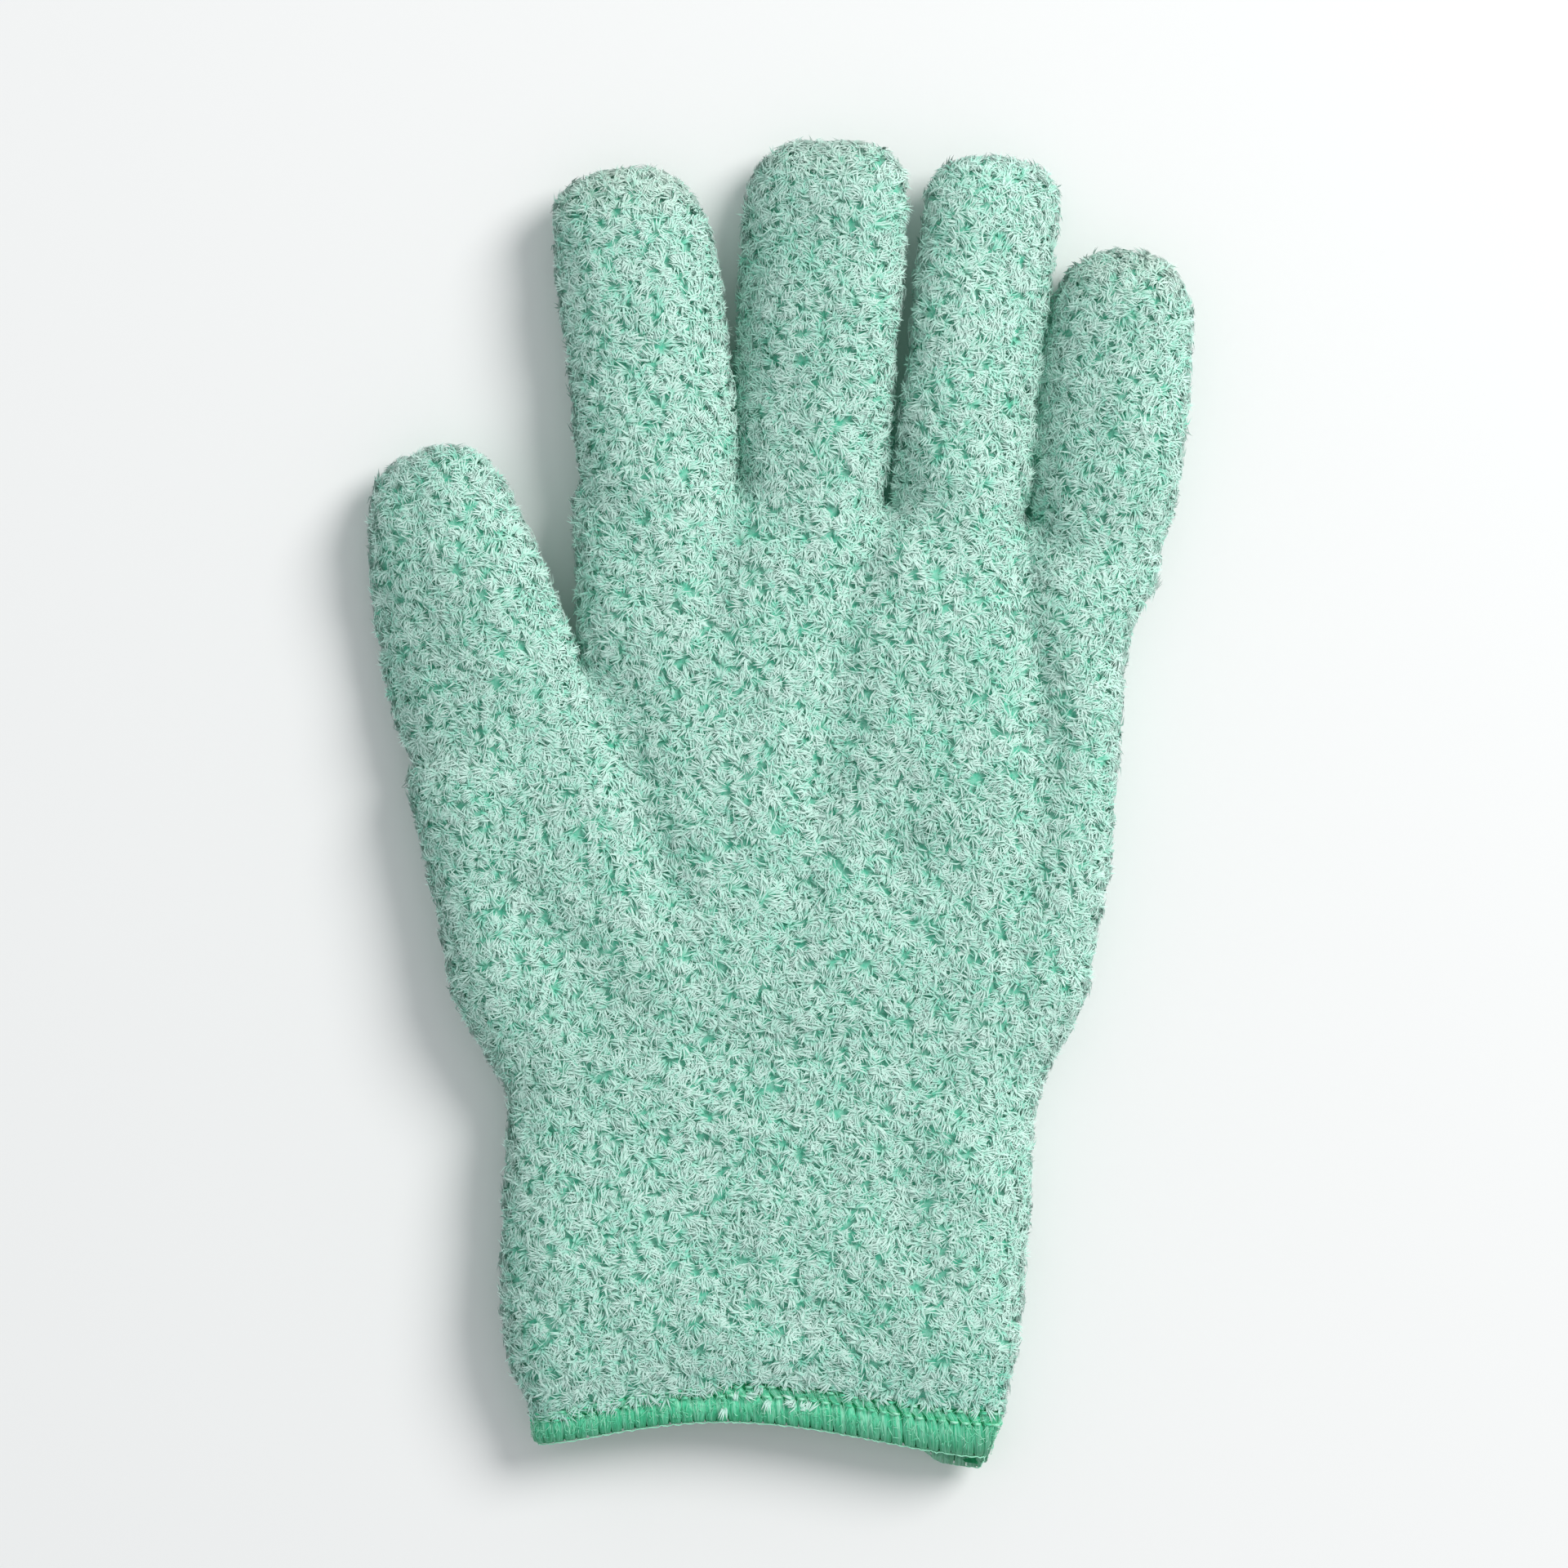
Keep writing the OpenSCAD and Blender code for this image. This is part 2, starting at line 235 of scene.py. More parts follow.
def new_object(name, points_mm, faces, smooth=True):
    mesh = bpy.data.meshes.new(name)
    mesh.from_pydata((np.asarray(points_mm) * MM).tolist(), [], faces)
    mesh.update()
    if smooth:
        mesh.shade_smooth()
    obj = bpy.data.objects.new(name, mesh)
    bpy.context.scene.collection.objects.link(obj)
    return obj


def points_of(obj):
    """The object's points in mm."""
    points = np.empty(len(obj.data.vertices) * 3)
    obj.data.vertices.foreach_get("co", points)
    return points.reshape(-1, 3) / MM


def set_points(obj, points_mm):
    obj.data.vertices.foreach_set("co", (points_mm * MM).ravel())
    obj.data.update()


def activate(obj):
    bpy.ops.object.select_all(action="DESELECT")
    obj.select_set(True)
    bpy.context.view_layer.objects.active = obj


def apply_modifier(obj, kind, **settings):
    modifier = obj.modifiers.new(kind.title(), kind)
    for key, value in settings.items():
        setattr(modifier, key, value)
    activate(obj)
    bpy.ops.object.modifier_apply(modifier=modifier.name)


def loft(name, rings):
    """A closed form through rings of points, capped at both ends."""
    n = len(rings[0])
    faces = []
    for k in range(len(rings) - 1):
        for i in range(n):
            j = (i + 1) % n
            faces.append((k * n + i, k * n + j, (k + 1) * n + j, (k + 1) * n + i))
    faces.append(tuple(range(n - 1, -1, -1)))
    last = (len(rings) - 1) * n
    faces.append(tuple(range(last, last + n)))
    obj = new_object(name, np.concatenate(rings), faces)
    mesh = bmesh.new()
    mesh.from_mesh(obj.data)
    bmesh.ops.recalc_face_normals(mesh, faces=mesh.faces)
    mesh.to_mesh(obj.data)
    mesh.free()
    return obj


def superellipse(left, right, top, bottom, count=56):
    """Side and height of points round a digit's cross-section, a little squarer than an oval."""
    a = np.linspace(0, 2 * np.pi, count, endpoint=False)
    across, up = np.cos(a), np.sin(a)
    side = np.where(across > 0, right, left) * np.sign(across) * np.abs(across) ** (2 / SIDE_SQUARENESS)
    height = np.where(up > 0, top, bottom) * np.sign(up) * np.abs(up) ** (2 / TOP_SQUARENESS)
    return side, height


def flat_tube(left, right, top, bottom, crown, count=24):
    """x and height of points round a flattened tube: round sides, slightly crowned faces."""
    r = (top + bottom) / 2
    a = np.linspace(-np.pi / 2, np.pi / 2, 9)
    x = np.linspace(right - r, left + r, count)[1:-1]
    middle, half = (left + right) / 2, (right - left) / 2
    swell = 1 + crown * (1 - ((x - middle) / half) ** 2)
    lift = (top - bottom) / 2
    sides = np.concatenate([right - r + r * np.cos(a), x, left + r - r * np.cos(a), x[::-1]])
    under = -bottom * np.ones(len(x))
    height = np.concatenate([lift + r * np.sin(a), top * swell, lift - r * np.sin(a), under])
    return sides, height


# ---------------------------------------------------------------- the padded forms


def digit_form(name):
    """One finger as a closed form, from inside the palm to its tip."""
    facts, spine = DIGITS[name], SPINES[name]
    last = spine.end - PILE
    inside = [-34, -26, -18, -12] if name == "thumb" else [-46, -36, -26, -18, -12]
    stations = inside + list(np.linspace(-6, last - TIP_RUN, 8))
    stations += [last - TIP_RUN + TIP_RUN * q for q in (0.2, 0.4, 0.58, 0.72, 0.83, 0.91, 0.97, 0.998)]
    rings = []
    for s in stations:
        inside_palm = np.clip((-s - 8) / 26, 0, 1)
        narrowing = 1 - 0.45 * inside_palm
        left, right = (np.maximum(half - DIGIT_INSET, 0.8) * narrowing for half in spine.sides(s + 0.6))
        q = np.clip((s - last + TIP_DOME) / TIP_DOME, 0, 1)
        dome = (1 - q ** 2.6) ** 0.5
        top = max(DIGIT_TOP * (1 - 0.35 * inside_palm) * dome, 0.7)
        bottom = max(BOTTOM * (1 - 0.2 * inside_palm) * dome, 0.7)
        side, height = superellipse(left, right, top, bottom)
        turn = math.radians(facts["roll"]) * np.clip((s + 14) / 20, 0, 1)
        side, height = (side * math.cos(turn) + height * math.sin(turn),
                        height * math.cos(turn) - side * math.sin(turn))
        xy = spine.point(s)[None, :] + spine.across[None, :] * side[:, None]
        z = np.maximum(MIDDLE_Z + height, FLOOR_GAP + 0.15)
        rings.append(np.column_stack([xy, z]))
    return loft(name + "_form", rings)


def palm_form():
    """The palm and the cuff as one closed form."""
    rings = []
    for y, left, right, share, shear in PALM:
        inset = np.interp(y, (MOUTH_FLAT, MOUTH_FLAT + 22), (0.4, PALM_INSET))
        x, height = flat_tube(left + inset, right - inset, TOP * share, BOTTOM * min(1, share + 0.05), 0.05)
        rings.append(np.column_stack([x, y + shear * (x - 5), MIDDLE_Z + height]))
    return loft("palm_form", rings)


STRETCH_STIFFNESS = 12


def soften(form, voxel, pressure, cap, frames=20):
    """Lets a form swell and settle as cloth, no point moving further than the cap."""
    apply_modifier(form, "REMESH", mode="VOXEL", voxel_size=voxel * MM)
    before = points_of(form)
    cloth = form.modifiers.new("Cloth", "CLOTH")
    cloth.settings.use_pressure = True
    cloth.settings.uniform_pressure_force = pressure
    cloth.settings.tension_stiffness = STRETCH_STIFFNESS
    cloth.settings.compression_stiffness = STRETCH_STIFFNESS
    cloth.settings.bending_stiffness = 0.4
    cloth.settings.effector_weights.gravity = 0
    for number in range(1, frames + 1):
        bpy.context.scene.frame_set(number)
    activate(form)
    bpy.ops.object.modifier_apply(modifier=cloth.name)
    bpy.context.scene.frame_set(1)
    moved = points_of(form) - before
    far = np.linalg.norm(moved, axis=1, keepdims=True)
    moved *= np.minimum(1, cap / np.maximum(far, 1e-9))
    set_points(form, before + moved)


# ---------------------------------------------------------------- folds of the soft cloth

# Soft valleys on the upper face: start, end, depth and half width in mm.
VALLEYS = [
    ((-8.5, 60), (-12, 30), 2.0, 4.5),
    ((20.5, 58), (13, 36), 2.2, 4.5),
    ((12.5, 40), (4, -21), 1.8, 5.5),
    ((45.5, 53), (44, 36), 2.2, 4.5),
    ((44, 40), (48.5, 5), 2.4, 5.0),
    ((48.5, 8), (43, -32), 2.0, 5.0),
    ((23, 0), (19, -26), 1.3, 5.0),
    ((-31, 22), (-21.5, -16), 1.9, 4.5),
    ((-50, -14), (-28, -42), 1.2, 7.0),
    ((-14, -66), (-10, -96), 0.8, 6.0),
    ((22, -60), (26, -92), 0.8, 6.0),
]


def valley_depth(xy):
    """How far each point of the upper face is pressed down, in mm."""
    total = np.zeros(len(xy))
    for start, end, depth, half_width in VALLEYS:
        start, end = np.array(start), np.array(end)
        line = end - start
        t = np.clip((xy - start) @ line / (line @ line), 0, 1)
        distance = np.linalg.norm(xy - (start + t[:, None] * line), axis=1)
        taper = np.sin(np.pi * (0.15 + 0.8 * t)) ** 0.7
        total += depth * taper * np.exp(-(distance / half_width) ** 2)
    return total


def soft_lumps(points, size, seed):
    """Smooth noise from -1 to 1 at each point."""
    shift = Vector((seed * 13.7, seed * 5.1, seed * 9.3))
    return np.array([noise.noise(Vector(p) / size + shift) for p in points])


def shape_skin(skin):
    """Presses the folds in, adds the cloth's soft unevenness and bends the mouth's edge."""
    points = points_of(skin)
    normals = np.empty(len(points) * 3)
    skin.data.vertices.foreach_get("normal", normals)
    normals = normals.reshape(-1, 3)
    faces_up = np.clip(normals[:, 2] * 1.4, 0, 1)
    above = faces_up * (points[:, 2] > MIDDLE_Z)
    away_from_hem = np.clip((points[:, 1] - MOUTH_FLAT - HEM_HEIGHT) / 10, 0, 1)
    points[:, 2] -= above * away_from_hem * valley_depth(points[:, :2])
    wide = soft_lumps(points, 17.0, 1)
    fine = soft_lumps(points, 7.0, 2)
    lumps = (1.0 * wide + 0.55 * fine) * away_from_hem
    points += normals * (lumps * (0.35 + 0.65 * above))[:, None]
    points[:, 2] = np.maximum(points[:, 2], FLOOR_GAP)
    near_mouth = eased(1 - (points[:, 1] - MOUTH_FLAT) / MOUTH_REACH)
    points[:, 1] += near_mouth * (edge_y(points[:, 0], points[:, 2]) - MOUTH_FLAT)
    set_points(skin, points)


def melt_roots(skin):
    """Evens out the heights where the digits and the cuff run into the palm."""
    points = points_of(skin)
    weight = np.clip(1 - np.abs(points[:, 1] - WRIST_Y) / 16, 0, 1)
    for spine in SPINES.values():
        away = points[:, :2] - spine.root
        s = away @ spine.along
        side = np.abs(away @ spine.across)
        weight = np.maximum(weight, np.clip(1.6 - np.abs(s + 12) / 11, 0, 1) * (side < 20))
    normals = np.empty(len(points) * 3)
    skin.data.vertices.foreach_get("normal", normals)
    weight *= np.clip(np.abs(normals[2::3]) * 3 - 1.2, 0, 1)
    group = skin.vertex_groups.new(name="roots")
    for step in range(1, 11):
        chosen = np.nonzero(np.round(weight * 10) == step)[0]
        group.add(chosen.tolist(), step / 10, "REPLACE")
    apply_modifier(skin, "SMOOTH", factor=0.6, iterations=70, use_x=False, use_y=False,
                   vertex_group="roots")
    skin.vertex_groups.clear()


def make_skin():
    """The whole knitted skin as one surface, open at the cuff's mouth."""
    forms = [palm_form()] + [digit_form(name) for name in DIGITS]
    soften(forms[0], 4.0, 3.0, 1.2)
    for form in forms[1:]:
        soften(form, 2.6, 3.0, 0.8)
    activate(forms[0])
    for form in forms:
        form.select_set(True)
    bpy.ops.object.join()
    skin = forms[0]
    skin.name = "skin"
    apply_modifier(skin, "REMESH", mode="VOXEL", voxel_size=VOXEL * MM)
    apply_modifier(skin, "SMOOTH", factor=0.5, iterations=9)
    mesh = bmesh.new()
    mesh.from_mesh(skin.data)
    bmesh.ops.bisect_plane(
        mesh, geom=mesh.verts[:] + mesh.edges[:] + mesh.faces[:],
        plane_co=(0, MOUTH_FLAT * MM, 0), plane_no=(0, -1, 0), clear_outer=True,
    )
    mesh.to_mesh(skin.data)
    mesh.free()
    melt_roots(skin)
    shape_skin(skin)
    return skin


# ---------------------------------------------------------------- cutting it into pieces


def region_of(points):
    """The piece each point belongs to: 0 palm, 1 cuff, then each digit's lower and upper part."""
    region = np.zeros(len(points), int)
    region[points[:, 1] < WRIST_Y + BEND_REACH] = 1
    for number, (name, spine) in enumerate(SPINES.items()):
        away = points[:, :2] - spine.root
        s = away @ spine.along
        side = away @ spine.across
        mine = (s > -BEND_REACH) & in_strip(name, s, side)
        region[mine] = 2 + 2 * number
        region[mine & (s > spine.half_gap)] = 3 + 2 * number
    return region


def in_strip(name, s, side):
    """Whether points lie in the strip that holds a digit, out to the gap beside it."""
    at, left, right = zip(*DIGITS[name]["sides"])
    spare = 2.5 if name == "thumb" else 1.0
    return (side > -np.interp(s, at, left) - spare) & (side < np.interp(s, at, right) + spare)


REGIONS = ["palm", "cuff"] + [f"{name}_{part}" for name in DIGITS for part in ("lower", "upper")]


def attach(piece, region):
    """Rides the palm's pieces on the frame's palm body; every other piece has its place baked into its
    mesh.
    """
    if region == "palm":
        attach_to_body(piece, "palm")
    elif region == "cuff":
        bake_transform(piece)
    else:
        name, part = region.rsplit("_", 1)
        spine = SPINES[name]
        if part == "lower":
            bodies, span = ("palm", name + "_root"), (-BEND_REACH, spine.half_gap)
        else:
            bodies, span = (name + "_root", name + "_tip"), (spine.half_gap, spine.gap + BEND_REACH)
        start, end = (spine.point(s) for s in span)
        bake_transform(piece)


# ---------------------------------------------------------------- the pile

SOIL_STEPS = 4       # steps of soiling in the pile's palette
STRANDS = 8          # strands of fibre in a tuft
TUFT_LENGTH = 2.8
STRAND_WIDTH = 0.34
CLUMP_SIZE = 1.7     # tufts lean together into clumps of about this size
CLUMP_HEIGHT = 0.5   # how far clumps stand above or below the rest
SHORT_STEP = 0.3     # the step over which a clump's slope is measured
FAN = 0.42           # how far a tuft's strands spread, in radians
SOFTNESS = 3.0       # how far a tuft's shading follows the cloth under it, as fine fibres' does


def frames_on(normals):
    """Two unit directions along the surface at each normal."""
    helper = np.where(np.abs(normals[:, 2:3]) > 0.9, [[0.0, 1.0, 0.0]], [[0.0, 0.0, 1.0]])
    first = np.cross(helper, normals)
    first /= np.linalg.norm(first, axis=1, keepdims=True)
    return first, np.cross(normals, first)


def unit(vectors):
    return vectors / np.linalg.norm(vectors, axis=-1, keepdims=True)


def tuft_mesh(roots, normals, lean_angle, tint, soil):
    """Tufts: strands that rise together from the cloth and bend over to lie on it, fanned out.
    Returns points, soft normals, quads, triangles and colour places."""
    count = len(roots)
    first, second = frames_on(normals)
    length = TUFT_LENGTH * rng.uniform(0.75, 1.15, (count, 1))
    lying = rng.uniform(0.15, 1.0, (count, 1))
    curl = rng.normal(0, 0.25, (count, 1))
    points, shades, along, quads, tris = [], [], [], [], []
    for number in range(STRANDS):
        hand = 2 * number / (STRANDS - 1) - 1
        angle = (lean_angle + hand * FAN + rng.normal(0, 0.22, count))[:, None]
        lean = first * np.cos(angle) + second * np.sin(angle)
        side = np.cross(normals, lean)
        reach = length * rng.uniform(0.7, 1.15, (count, 1))
        height = rng.uniform(0.20, 0.44, (count, 1))
        start = roots - normals * 0.25 + side * (hand * 0.25 + rng.normal(0, 0.10, (count, 1)))
        middle = start + reach * (normals * (height + 0.06) + lean * 0.34) + normals * 0.25
        tip = start + reach * (normals * (height + 0.22 - 0.26 * lying) + lean * 0.86 + side * curl * 0.5)
        tip = tip + normals * 0.25
        base = len(points)
        rings = ((start, middle - start, 0.8, 0.02), (middle, tip - start, 1.0, 0.52))
        for centre, ahead, width, v in rings:
            ahead = unit(ahead)
            over = unit(np.cross(side, ahead))
            for k in range(3):
                a = 2 * math.pi * k / 3 + math.pi / 2
                out = over * math.sin(a) - side * math.cos(a)
                points.append(centre + out * STRAND_WIDTH * width / 2)
                shades.append(unit(normals * SOFTNESS + out))
                along.append(v)
        points.append(tip)
        shades.append(unit(normals * SOFTNESS + lean * 0.5))
        along.append(0.98)
        quads += [(base + k, base + (k + 1) % 3, base + 3 + (k + 1) % 3, base + 3 + k) for k in range(3)]
        tris += [(base + 3 + k, base + 3 + (k + 1) % 3, base + 6) for k in range(3)]
        tris.append((base + 2, base + 1, base))
    per = len(points)
    points = np.stack(points, axis=1).reshape(-1, 3)
    shades = np.stack(shades, axis=1).reshape(-1, 3)
    starts = (np.arange(count) * per)[:, None, None]
    quads = (starts + np.array(quads)[None]).reshape(-1, 4)
    tris = (starts + np.array(tris)[None]).reshape(-1, 3)
    strand_tint = np.repeat(rng.normal(0, 0.12, (count, STRANDS)), 7, axis=1).ravel()
    shade = np.clip(np.repeat(tint, per) + strand_tint, 0, 0.999)
    dirt = np.clip(np.round(np.repeat(soil, per) * SOIL_STEPS), 0, SOIL_STEPS)
    palette = (dirt + 0.04 + 0.92 * shade) / (SOIL_STEPS + 1)
    return points, shades, quads, tris, np.column_stack([palette, np.tile(along, count)])


def fast_object(name, points, shades, quads, tris, places):
    """An object from arrays, with its colour places as a UV map."""
    mesh = bpy.data.meshes.new(name)
    loops = np.concatenate([quads.ravel(), tris.ravel()])
    sizes = np.concatenate([np.full(len(quads), 4), np.full(len(tris), 3)])
    starts = np.concatenate([[0], np.cumsum(sizes)[:-1]])
    mesh.vertices.add(len(points))
    mesh.vertices.foreach_set("co", (points * MM).ravel())
    mesh.loops.add(len(loops))
    mesh.loops.foreach_set("vertex_index", loops.astype(np.int32))
    mesh.polygons.add(len(sizes))
    mesh.polygons.foreach_set("loop_start", starts.astype(np.int32))
    mesh.update(calc_edges=True)
    layer = mesh.uv_layers.new(name=PALETTE_MAP)
    layer.data.foreach_set("uv", places[loops].ravel())
    mesh.shade_smooth()
    mesh.normals_split_custom_set_from_vertices(shades)
    obj = bpy.data.objects.new(name, mesh)
    bpy.context.scene.collection.objects.link(obj)
    return obj


PALETTE_MAP = "OFBake"  # the map of colour places: tint and soiling across, root to tip upwards
TUFTS_IN_PIECE = 2450   # most tufts in one piece, which keeps its mesh small enough to export
PRESSED = 0.8           # pile lower than this above the table is pressed flat
UNDERSIDE_SHARE = 0.6   # the unseen underside keeps this share of its tufts, to save faces


def face_data(obj):
    """Corners, middles, normals of an object's faces, in mm."""
    mesh = obj.data
    count = len(mesh.polygons)
    middles = np.empty(count * 3)
    normals = np.empty(count * 3)
    mesh.polygons.foreach_get("center", middles)
    mesh.polygons.foreach_get("normal", normals)
    return middles.reshape(-1, 3) / MM, normals.reshape(-1, 3)


def soil_at(points, region):
    """Greying of the pile near each worn fingertip, from 0 to 1."""
    soil = np.zeros(len(points))
    for number, (name, spine) in enumerate(SPINES.items()):
        s = (points[:, :2] - spine.root) @ spine.along
        near = np.clip((s - spine.end + 12) / 12, 0, 1) * (region == 3 + 2 * number)
        soil = np.maximum(soil, near * DIGITS[name]["soil"])
    return np.clip(soil * rng.uniform(0.3, 1.0, len(points)), 0, 1)


def pressed_on_table(points):
    """The points with those near the table squashed to lie on it, as soft pile does."""
    points = np.array(points)
    height = points[:, 2]
    points[:, 2] = np.where(height < PRESSED, PRESSED * np.exp(np.minimum(height / PRESSED - 1, 0)), height)
    return points


def make_pile(skin):
    """Tufts on every face of the skin above the hem, in pieces by region."""
    middles, normals = face_data(skin)
    first, second = frames_on(normals)
    jitter = rng.uniform(-0.5, 0.5, (len(middles), 2)) * VOXEL
    roots = middles + first * jitter[:, :1] + second * jitter[:, 1:]
    above_hem = roots[:, 1] - edge_y(roots[:, 0], roots[:, 2]) > pile_start(roots[:, 0])
    kept = above_hem & ((normals[:, 2] > -0.6) | (rng.uniform(0, 1, len(roots)) < UNDERSIDE_SHARE))
    roots, normals = roots[kept], normals[kept]
    region = region_of(middles[kept])
    first, second = frames_on(normals)
    clumps = soft_lumps(roots, CLUMP_SIZE, 5)
    rise = [soft_lumps(roots + way * SHORT_STEP, CLUMP_SIZE, 5) - clumps for way in (first, second)]
    lean_angle = np.arctan2(rise[1], rise[0]) + rng.normal(0, 1.1, len(roots))
    roots = roots + normals * (CLUMP_HEIGHT * clumps)[:, None]
    # Tufts on raised clumps are painted paler and those in hollows darker: painted light and shade. The
    # wider noise and the jitter are the yarn's own uneven tone.
    tint = 0.56 + 0.85 * clumps + 0.3 * soft_lumps(roots, 7.0, 6)
    tint = np.clip(tint + rng.normal(0, 0.12, len(roots)), 0, 1)
    soil = soil_at(roots, region)
    for number, region_name in enumerate(REGIONS):
        mine = np.nonzero(region == number)[0]
        mine = mine[np.argsort(-roots[mine, 1], kind="stable")]
        batches = max(1, math.ceil(len(mine) / TUFTS_IN_PIECE))
        for batch, chosen in enumerate(np.array_split(mine, batches)):
            points, *rest = tuft_mesh(roots[chosen], normals[chosen], lean_angle[chosen],
                                      tint[chosen], soil[chosen])
            name = f"{region_name}_pile" + (f"_{batch + 1}" if batches > 1 else "")
            pile = fast_object(name, pressed_on_table(points), *rest)
            pile.data.materials.append(PILE_MATERIAL)
            attach(pile, region_name)


# ---------------------------------------------------------------- materials


def new_material(name):
    material = bpy.data.materials.new(name)
    material.use_nodes = True
    shader = material.node_tree.nodes["Principled BSDF"]
    return material, material.node_tree, shader


def colour_ramp(tree, stops, factor):
    ramp = tree.nodes.new("ShaderNodeValToRGB")
    elements = ramp.color_ramp.elements
    while len(elements) < len(stops):
        elements.new(0.5)
    for element, (position, colour) in zip(elements, stops):
        element.position = position
        element.color = (*colour, 1)
    tree.links.new(factor, ramp.inputs["Fac"])
    return ramp.outputs["Color"]


def socket_named(node, name, kind="RGBA"):
    return next(s for s in node.inputs if s.name == name and s.type == kind)


def math_node(tree, operation, *values):
    node = tree.nodes.new("ShaderNodeMath")
    node.operation = operation
    for socket, value in zip(node.inputs, values):
        if isinstance(value, (int, float)):
            socket.default_value = value
        else:
            tree.links.new(value, socket)
    return node.outputs["Value"]


def mix_rgb(tree, kind, factor, first, second):
    mix = tree.nodes.new("ShaderNodeMix")
    mix.data_type = "RGBA"
    mix.blend_type = kind
    places = (socket_named(mix, "Factor", "VALUE"), socket_named(mix, "A"), socket_named(mix, "B"))
    for socket, value in zip(places, (factor, first, second)):
        if isinstance(value, (int, float, tuple)):
            socket.default_value = value if not isinstance(value, tuple) else (*value, 1)
        else:
            tree.links.new(value, socket)
    return next(s for s in mix.outputs if s.type == "RGBA")


# The pile's colours from root to tip; the deep greens at the root are painted shade in the pile's depths.
DEEP_GREEN = (0.03, 0.50, 0.28)
MID_GREEN = (0.19, 0.69, 0.50)
PALE_MINT = (0.45, 0.78, 0.67)
WHITE_MINT = (0.78, 0.93, 0.88)


def pile_material():
    """Microfibre bundles: pale at the tip and deep saturated green towards the root, as painted shade in
    the pile's depths; paler where the tint is high; greyer where soiled.
    """
    material, tree, shader = new_material("microfibre_pile")
    uv = tree.nodes.new("ShaderNodeUVMap")
    uv.uv_map = PALETTE_MAP
    split = tree.nodes.new("ShaderNodeSeparateXYZ")
    tree.links.new(uv.outputs["UV"], split.inputs["Vector"])
    steps = math_node(tree, "MULTIPLY", split.outputs["X"], SOIL_STEPS + 1)
    tint = math_node(tree, "FRACT", steps)
    dirt = math_node(tree, "DIVIDE", math_node(tree, "FLOOR", steps), SOIL_STEPS)
    # darker and more saturated towards the root: painted shade in the pile's depths
    body = colour_ramp(tree, [(0.0, DEEP_GREEN), (0.40, MID_GREEN), (0.72, PALE_MINT), (1.0, WHITE_MINT)],
                       split.outputs["Y"])
    # paler with the tint, which holds the yarn's uneven tone and, by clump height, painted light and shade
    pale = mix_rgb(tree, "MIX", math_node(tree, "MULTIPLY", tint, 0.7), body, WHITE_MINT)
    soiled = mix_rgb(tree, "MIX", math_node(tree, "MULTIPLY", dirt, 0.7), pale, (0.56, 0.58, 0.52))
    tree.links.new(soiled, shader.inputs["Base Color"])
    shader.inputs["Roughness"].default_value = 0.85
    shader.inputs["Specular IOR Level"].default_value = 0.25
    shader.inputs["Sheen Weight"].default_value = 0.35
    shader.inputs["Sheen Roughness"].default_value = 0.45
    shader.inputs["Sheen Tint"].default_value = (0.85, 1.0, 0.95, 1)
    # Painted light: a faint green glow over the whole pile stands in for light scattered among its fibres.
    shader.inputs["Emission Color"].default_value = (0.02, 0.30, 0.18, 1)
    shader.inputs["Emission Strength"].default_value = 0.10
    return material


def knit_material():
    """The cloth under the tufts: short dense pile, darker green where its bump is low, as painted shade in
    the pits between clumps.
    """
    material, tree, shader = new_material("ground_knit")
    place = tree.nodes.new("ShaderNodeTexCoord")
    clumps = tree.nodes.new("ShaderNodeTexNoise")
    clumps.inputs["Scale"].default_value = 900
    clumps.inputs["Detail"].default_value = 3
    clumps.inputs["Roughness"].default_value = 0.6
    tree.links.new(place.outputs["Object"], clumps.inputs["Vector"])
    # darker where the noise, and with it the bump, is low: painted shade in the pits
    stops = [(0.35, (0.09, 0.56, 0.37)), (0.62, (0.28, 0.68, 0.53))]
    colour = colour_ramp(tree, stops, clumps.outputs["Fac"])
    tree.links.new(colour, shader.inputs["Base Color"])
    bump = tree.nodes.new("ShaderNodeBump")
    bump.inputs["Strength"].default_value = 0.5
    bump.inputs["Distance"].default_value = 0.0004
    tree.links.new(clumps.outputs["Fac"], bump.inputs["Height"])
    tree.links.new(bump.outputs["Normal"], shader.inputs["Normal"])
    shader.inputs["Roughness"].default_value = 0.9
    return material


def hem_ground_material():
    """The knitted ground seen between the hem's threads, very dark green as painted shade between the
    threads, mottled darker by noise.
    """
    material, tree, shader = new_material("hem_ground_painted_shade")
    place = tree.nodes.new("ShaderNodeTexCoord")
    pits = tree.nodes.new("ShaderNodeTexNoise")
    pits.inputs["Scale"].default_value = 1400
    tree.links.new(place.outputs["Object"], pits.inputs["Vector"])
    # very dark greens: painted shade between the hem's threads
    stops = [(0.35, (0.0, 0.20, 0.07)), (0.65, (0.01, 0.36, 0.14))]
    colour = colour_ramp(tree, stops, pits.outputs["Fac"])
    tree.links.new(colour, shader.inputs["Base Color"])
    shader.inputs["Roughness"].default_value = 0.9
    return material


